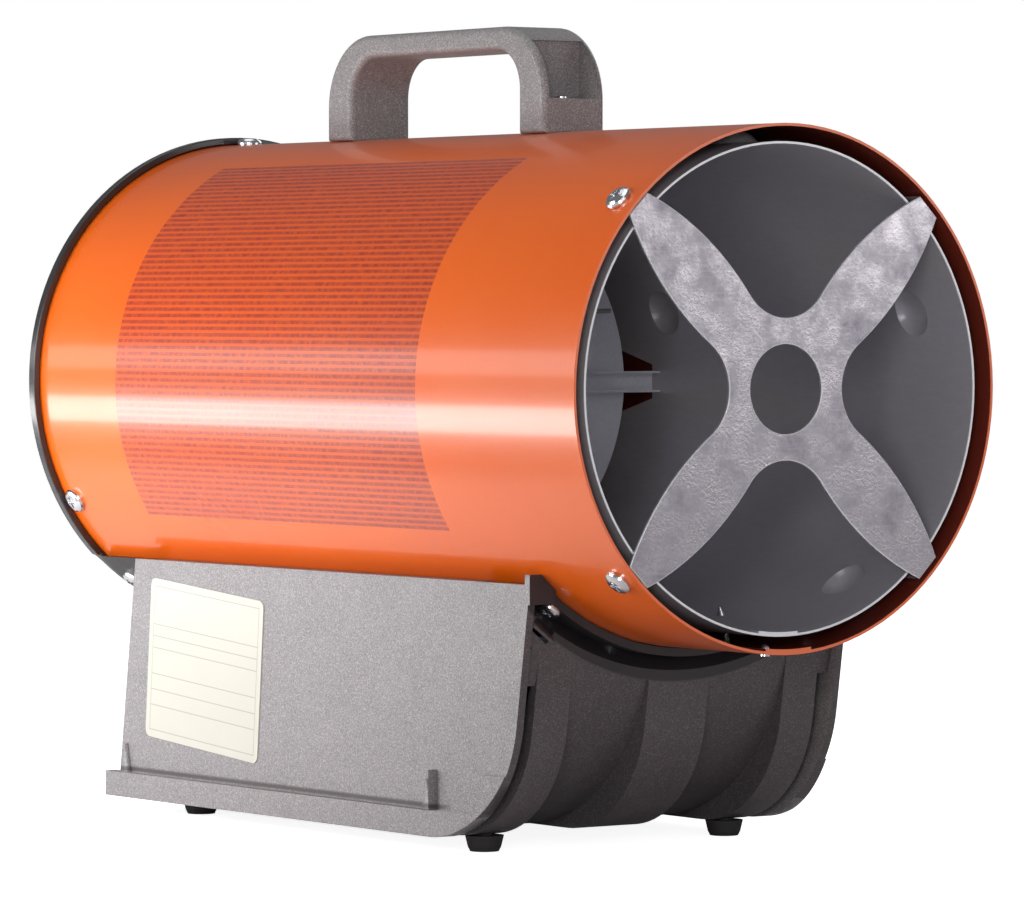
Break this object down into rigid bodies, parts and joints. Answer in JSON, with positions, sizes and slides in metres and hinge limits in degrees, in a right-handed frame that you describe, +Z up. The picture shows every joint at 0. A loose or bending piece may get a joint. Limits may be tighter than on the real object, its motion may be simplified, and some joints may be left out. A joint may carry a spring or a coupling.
{
  "type": "gas forced air heater",
  "caption": "Portable gas fan heater: an orange drum with a cross guard at its outlet, on a ribbed dark base, with a carrying handle and controls at the back.",
  "frame": {"origin": "centre of the bounding box at the height of the feet", "axes": "+Z up, -Y out of the hot air outlet, +Y towards the fan and the controls, +X to the right when the outlet is seen from behind the heater"},
  "size_m": [0.191, 0.355, 0.2975],
  "materials": {
    "drum": "satin",
    "zinc": "satin",
    "liner": "satin",
    "galvanised": "satin",
    "brass": "satin",
    "copper": "satin",
    "electrode": "satin",
    "ceramic": "glazed",
    "lead_red": "matte",
    "fan": "satin",
    "shaft": "polished",
    "core": "satin",
    "motor": "satin",
    "windings": "satin",
    "bearing": "satin",
    "ring": "satin",
    "guard": "satin",
    "base_plastic": "fine grain",
    "feet": "matte",
    "plate": "satin",
    "valve": "cast",
    "control_black": "gloss",
    "piezo": "satin",
    "control_red": "gloss",
    "gland": "satin",
    "lead_black": "matte"
  },
  "bodies": {
    "housing": {"drum_shell": "drum", "drum_rivets": "zinc", "combustion_liner": "liner", "liner_screws": "zinc", "outlet_cross": "galvanised", "front_screws": "zinc", "burner_disc": "galvanised", "flame_bar": "galvanised", "burner_cup": "galvanised", "gas_injector": "brass", "gas_pipe": "copper", "pipe_nuts": "brass", "ignition_electrode": "electrode", "electrode_insulator": "ceramic", "ignition_lead": "lead_red", "thermocouple": "copper", "limit_thermostat": "zinc", "motor_can": "motor", "motor_stator": "windings", "motor_end_cap": "motor", "motor_bearings": "bearing", "motor_bracket": "galvanised", "motor_screws": "zinc", "rear_screws": "zinc", "rear_ring": "ring", "rear_guard": "guard", "carry_handle": "base_plastic", "handle_screws": "zinc", "base_shell": "base_plastic", "left_cover": "base_plastic", "right_cover": "base_plastic", "rear_panel": "base_plastic", "saddle_screws": "zinc", "base_screws": "zinc", "rubber_feet": "feet", "rating_plate": "plate", "gas_valve": "valve", "gas_button_spring": "zinc", "gas_inlet": "brass", "inlet_nut": "brass", "piezo_body": "piezo", "piezo_spring": "zinc", "switch_frame": "control_black", "cable_gland": "gland", "gland_nut": "gland", "terminal_block": "piezo", "motor_lead": "lead_black", "lead_grommet": "feet"},
    "rotor": {"fan_impeller": "fan", "fan_nut": "zinc", "motor_shaft": "shaft", "motor_rotor": "core"},
    "gas_button_body": {"gas_button": "control_black"},
    "piezo_button_body": {"piezo_button": "control_red"},
    "knob_body": {"output_knob": "control_black"},
    "rocker_body": {"switch_rocker": "control_red"}
  },
  "joints": [
    {"name": "fan_spin", "type": "hinge", "parent": "housing", "child": "rotor", "pos_m": [0, 0.1225, 0.166], "axis": [0, 1, 0], "continuous": true},
    {"name": "gas_button_press", "type": "slide", "parent": "housing", "child": "gas_button_body", "axis": [0, -1, 0], "range_m": [0, 0.005], "stiffness_N_per_m": 900, "springref_m": -0.004, "deforming": ["gas_button_spring"]},
    {"name": "piezo_button_press", "type": "slide", "parent": "housing", "child": "piezo_button_body", "axis": [0, -1, 0], "range_m": [0, 0.006], "stiffness_N_per_m": 1200, "springref_m": -0.004, "deforming": ["piezo_spring"]},
    {"name": "output_knob_turn", "type": "hinge", "parent": "housing", "child": "knob_body", "pos_m": [0, 0.1345, 0.024], "axis": [0, 1, 0], "range_deg": [0, 270]},
    {"name": "switch_rock", "type": "hinge", "parent": "housing", "child": "rocker_body", "pos_m": [-0.038, 0.1345, 0.048], "axis": [1, 0, 0], "range_deg": [0, 16]}
  ]
}
